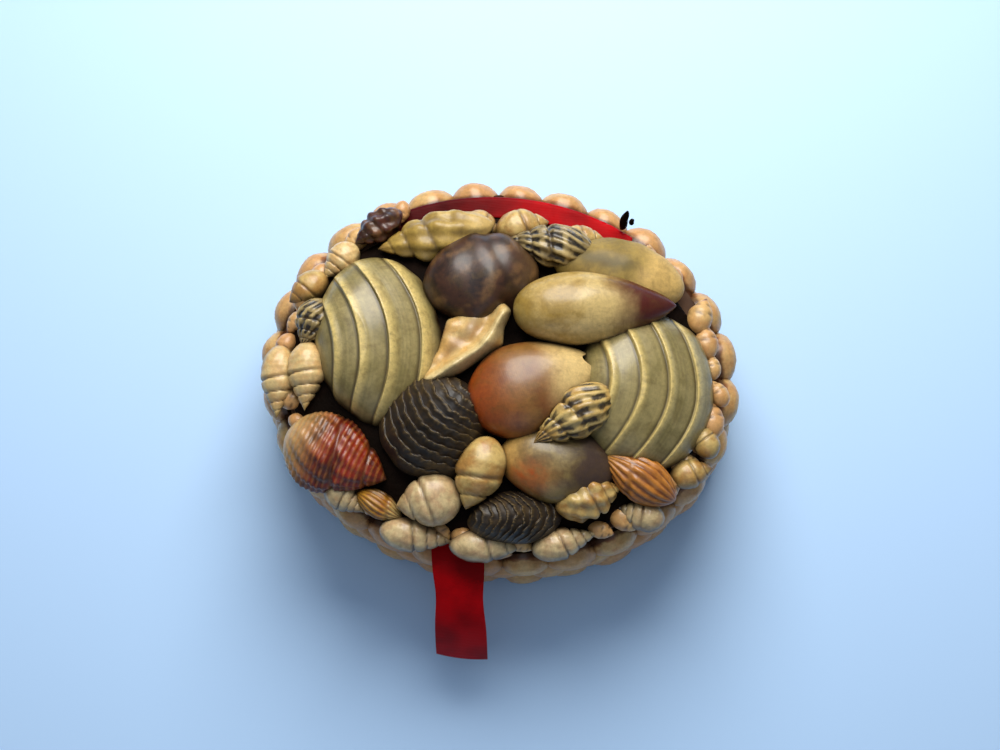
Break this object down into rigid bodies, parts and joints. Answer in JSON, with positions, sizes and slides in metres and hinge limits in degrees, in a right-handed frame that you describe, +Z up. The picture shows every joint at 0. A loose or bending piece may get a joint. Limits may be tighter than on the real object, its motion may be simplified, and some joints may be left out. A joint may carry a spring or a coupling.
{
  "type": "shell box",
  "caption": "Oval hinged keepsake box of card, its side covered in rows of small shells and its lid in assorted larger shells, with a red ribbon pull.",
  "frame": {"origin": "middle of the box's underside", "axes": "+Z up, -Y towards the front with the pull ribbon, +Y towards the hinge, +X to the right seen from the front"},
  "size_m": [0.1112, 0.111, 0.051],
  "materials": {
    "card": "brown board, brushed with glue",
    "satin": "woven satin",
    "ribbon": "woven satin ribbon",
    "glue": "dark set glue under varnish",
    "side_shell": "varnished shell",
    "cream_shell": "varnished shell",
    "speckled_shell": "varnished shell with dark spots",
    "orange_shell": "varnished shell",
    "olive_shell": "varnished shell",
    "purple_shell": "varnished shell",
    "ochre_shell": "varnished shell",
    "red_shell": "varnished shell",
    "dark_shell": "varnished shell",
    "white_shell": "varnished shell"
  },
  "bodies": {
    "box": {"box_body": "card", "box_lining": "satin", "side_shells_lower": "side_shell", "side_shells_middle": "side_shell", "side_shells_upper": "side_shell", "hinge_cloth": "satin"},
    "lid": {"lid_board": "card", "lid_lining": "satin", "pull_ribbon": "ribbon", "lid_bed": "glue", "conch_cream": "cream_shell", "nassa_speckled": "speckled_shell", "lip_cream": "cream_shell", "conch_orange": "orange_shell", "nassa_banded": "speckled_shell", "clam_left": "olive_shell", "clam_right": "olive_shell", "conch_purple": "purple_shell", "conch_olive": "olive_shell", "dove_cream": "cream_shell", "whelk_ribbed": "ochre_shell", "whelk_red": "red_shell", "bivalve_dark": "dark_shell", "whelk_ochre": "ochre_shell", "conch_beige": "orange_shell", "bivalve_dark_b": "dark_shell", "moon_white": "white_shell", "murex_olive": "ochre_shell", "cerith_brown": "dark_shell", "nassa_cream": "cream_shell", "dove_beige": "cream_shell", "nassa_grey": "dark_shell", "nassa_cone_a": "cream_shell", "nassa_cone_b": "cream_shell", "whelk_yellow": "ochre_shell", "whelk_white_a": "white_shell", "whelk_mint": "white_shell", "whelk_white_b": "white_shell", "whelk_white_c": "white_shell", "whelk_grey": "white_shell", "dove_right": "cream_shell", "dove_right_b": "cream_shell", "dove_top": "cream_shell", "dove_top_b": "cream_shell", "dove_pink": "cream_shell", "dove_corner": "cream_shell"}
  },
  "joints": [
    {"name": "lid_hinge", "type": "hinge", "parent": "box", "child": "lid", "pos_m": [0, 0.0409, 0.0304], "axis": [-1, 0, 0], "range_deg": [0, 100], "deforming": ["hinge_cloth"]}
  ]
}
